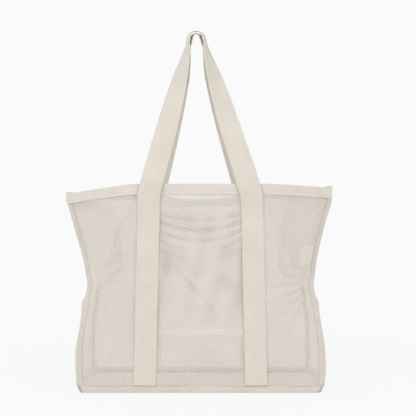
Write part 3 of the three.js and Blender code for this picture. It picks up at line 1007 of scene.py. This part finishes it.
def makeLabel():
    def place(u, v):
        z = label["middle"] + (v - 0.5) * label["height"] + 0 * u
        x = profile("halfWidth", z) - label["inset"] - label["width"] * (1 - u)
        point = panelPoint(-1, x, z)
        point[..., 1] += label["standOff"] + 2 * np.sin(4 * u + 0.5) * np.sin(3 * v + 0.4)
        return point

    piece = makeCloth("care_label", place, 24, 24, cloths["label"], label["cloth"])
    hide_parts("side_label")
    return piece


pocketPieces = makePocket()
careLabel = makeLabel()
print("pocket and label hung inside")

# Sewing thread: one small stitch after another, lying on the cloth it holds down.
sewing = {"step": 3.3, "length": 2.5, "width": 0.55, "rise": 0.3, "cord": 0.55,
          "pocketRows": (104, 110), "pocketReach": 76}


def evenly(line, step):
    far = np.concatenate([[0], np.cumsum(np.linalg.norm(np.diff(line, axis=0), axis=1))])
    at = np.arange(step / 2, far[-1], step)
    return np.stack([np.interp(at, far, line[:, k]) for k in range(3)], 1)


def stitchRow(line, away):               # away points off the cloth at each point of the line
    centre = evenly(line, sewing["step"])
    share = np.linspace(0, 1, len(line))
    at = np.linspace(0, 1, len(centre))
    face = unit(np.stack([np.interp(at, share, away[:, k]) for k in range(3)], 1))
    run = unit(np.gradient(centre, axis=0))
    cross = unit(np.cross(run, face))
    half, wide, rise = sewing["length"] / 2, sewing["width"] / 2, sewing["rise"]
    form = [(-half, 0, 0)]
    form += [(end * half * 0.55, x, y)
             for end in (-1, 1) for x, y in ((-wide, 0), (0, rise), (wide, 0))]
    form += [(half, 0, 0)]
    points = [centre + a * run + b * cross + c * face for a, b, c in form]
    shape = [(0, 2, 1), (0, 3, 2), (0, 1, 3), (1, 2, 5, 4), (2, 3, 6, 5), (3, 1, 4, 6),
             (7, 4, 5), (7, 5, 6), (7, 6, 4)]
    faces = [[8 * i + k for k in corners] for i in range(len(centre)) for corners in shape]
    return np.stack(points, 1).reshape(-1, 3), faces


def cordRow(line, radius):               # a fine round cord along a line
    line = evenly(line, 2.5)
    run = unit(np.gradient(line, axis=0))
    cross = unit(np.cross(run, [0, 0, 1.0]))
    if abs(line[-1, 2] - line[0, 2]) > 100:      # an upright line
        cross = unit(np.cross(run, [0, 1.0, 0]))
    up = np.cross(cross, run)
    turn = np.linspace(0, 2 * math.pi, 6, endpoint=False)
    points = line[:, None] + radius * (cross[:, None] * np.cos(turn)[:, None]
                                       + up[:, None] * np.sin(turn)[:, None])
    faces = gridFaces(len(line), 6, closed=True)
    faces.append(list(range(6))[::-1])
    faces.append([(len(line) - 1) * 6 + i for i in range(6)])
    return points.reshape(-1, 3), faces


def sewOn(name, rows, finish="thread"):  # rows of stitches or cord, joined as one
    points, faces, first = [], [], 0
    for rowPoints, rowFaces in rows:
        points.append(rowPoints)
        faces += [[first + k for k in face] for face in rowFaces]
        first += len(rowPoints)
    points = np.concatenate(points)
    uv = points[:, :2] + points[:, 2:] * [[0.3, 1]]
    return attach(addMesh(name, points, faces, uv, cloths[finish]), "bag_body")


def panelLine(facing, x, z, out):        # a line on a panel's outside, and the way off the cloth
    line = onPanel(facing, x, z, out)
    away = line - onPanel(facing, x, z, out - 1)
    return line, away


def gussetLine(side, s, z, out):
    line = gussetPoint(side, s, z, out)
    return line, np.broadcast_to([float(side), 0, 0], line.shape)


def hemLine(facing, down):
    x = np.linspace(-1, 1, 300) * (bag["mouthEnd"] - 8)
    z = rimAt(facing, x) - down
    off = hemForm["standOff"] + hemForm["cloth"] / 2 + hemPucker(x, down * np.ones_like(x))
    return panelLine(facing, x * profile("halfWidth", z) / bag["mouthEnd"], z, off)


def strapLine(facing, side, across, low, high):
    z = np.linspace(low, high, 120)
    x = side * strapX(z) + across
    y = facing * (strapY() + webbing["thickness"] / 2 - 0.05) + 0 * z
    return np.stack([x, y, z], 1), np.broadcast_to([0, float(facing), 0], (120, 3))


def acrossStrap(facing, side, z):
    x = side * strapX(z) + np.linspace(-1, 1, 30) * webbing["rowAcross"]
    y = facing * (strapY() + webbing["thickness"] / 2 - 0.05) + 0 * x
    return np.stack([x, y, z + 0 * x], 1), np.broadcast_to([0, float(facing), 0], (30, 3))


def tapeLine(facing, side, inward):
    z = np.linspace(tapeForm["foot"] + 3, bag["cornerHeight"] - 22, 220)
    x = side * (profile("halfWidth", z) - inward)
    return panelLine(facing, x, z, tapeForm["standOff"] + tapeForm["cloth"] / 2)


def bindingLine(facing):
    x = np.linspace(-1, 1, 260) * bindingForm["rowReach"]
    height = bindingForm["rowHeight"] + bindingWave(x) * 0.8
    return panelLine(facing, x, height, 2.05 + 0.4 * bindingWave(x + 60))


def makeSewing():
    rowsOn = {}
    for facing, end in ends:
        rows = [stitchRow(*hemLine(facing, down)) for down in hemForm["rows"]]
        rows.append(stitchRow(*bindingLine(facing)))
        if facing < 0:                   # the pocket's foot is sewn through the front panel
            x = np.linspace(-1, 1, 120) * sewing["pocketReach"]
            for level in sewing["pocketRows"]:
                z = level + 0.25 * np.sin(x / 15)
                rows.append(cordRow(panelLine(facing, x, z, 0.25)[0], sewing["cord"] * 0.8))
        for side in (-1, 1):
            rows += [stitchRow(*tapeLine(facing, side, inward)) for inward in tapeForm["rows"]]
        rowsOn[end] = sewOn(f"{end}_seam_stitching", rows)
        rows = []
        for side in (-1, 1):
            for across in (-webbing["rowAcross"], webbing["rowAcross"]):
                rows.append(stitchRow(*strapLine(facing, side, across, *webbing["rowLevels"])))
            levels = webbing["bars"] + ((pocket["foot"] + 2,) if facing < 0 else ())
            rows += [stitchRow(*acrossStrap(facing, side, z)) for z in levels]
        rowsOn[f"{end} straps"] = sewOn(f"{end}_strap_stitching", rows)
        rowsOn[f"{end} edging"] = sewOn(f"{end}_rim_edging", [
            cordRow(hemLine(facing, bag["hemWidth"] - 0.4)[0], sewing["cord"])])
    for side, hand in hands:
        s = np.linspace(-0.96, 0.96, 140)
        rows = []
        for down in hemForm["rows"]:
            z = gussetRim(side, s) - down
            rows.append(stitchRow(*gussetLine(side, s, z, 1.45)))
        height = bindingForm["rowHeight"] + bindingWave(70 * s) * 0.8
        rows.append(stitchRow(*gussetLine(side, s, height, 2.0)))
        rowsOn[hand] = sewOn(f"{hand}_seam_stitching", rows)
    return rowsOn


# Rolled seam edges inside: along the back of the base and up both back seams. Their dark colour is
# painted shade.
allowance = {"reach": 206, "back": 76.5, "height": 4.5, "baseRoll": 1.5, "seamRoll": 1.0,
             "seamLow": 6, "seamHigh": 184, "widest": 216, "insideSeam": 2.5, "insideBack": 4.5}


def makeAllowance():
    x = np.linspace(-1, 1, 200) * allowance["reach"]
    back = allowance["back"] + 0.4 * np.sin(x / 17)
    height = allowance["height"] + 0.9 * np.sin(x / 29) + 0.4 * np.sin(x / 11)
    rows = [cordRow(np.stack([1.02 * x, back, height], 1), allowance["baseRoll"])]
    z = np.linspace(allowance["seamLow"], allowance["seamHigh"], 90)
    for side in (-1, 1):
        out = np.minimum(profile("halfWidth", z), allowance["widest"]) - allowance["insideSeam"]
        out = out + 0.5 * np.sin(z / 13)
        upright = np.stack([side * out, profile("halfDepth", z) - allowance["insideBack"], z], 1)
        rows.append(cordRow(upright, allowance["seamRoll"]))
    return sewOn("inner_seam_edges", rows, finish="allowance")


seamEdges = makeAllowance()
stitching = makeSewing()
print("stitching, rim edging and seam edges sewn:", len(stitching) + 1, "pieces")

# The pieces sewn onto each panel and gusset, gathered in a list.
for facing, end in ends:
    sewnOn = [panelHems[facing], stitching[end], stitching[f"{end} edging"]]
    sewnOn += [piece for piece in tapes + bindings if piece.name.startswith(end)]
for side, hand in hands:
    sewnOn = [gussetHems[side], stitching[hand]]
    sewnOn += [piece for piece in bindings if piece.name.startswith(hand)]
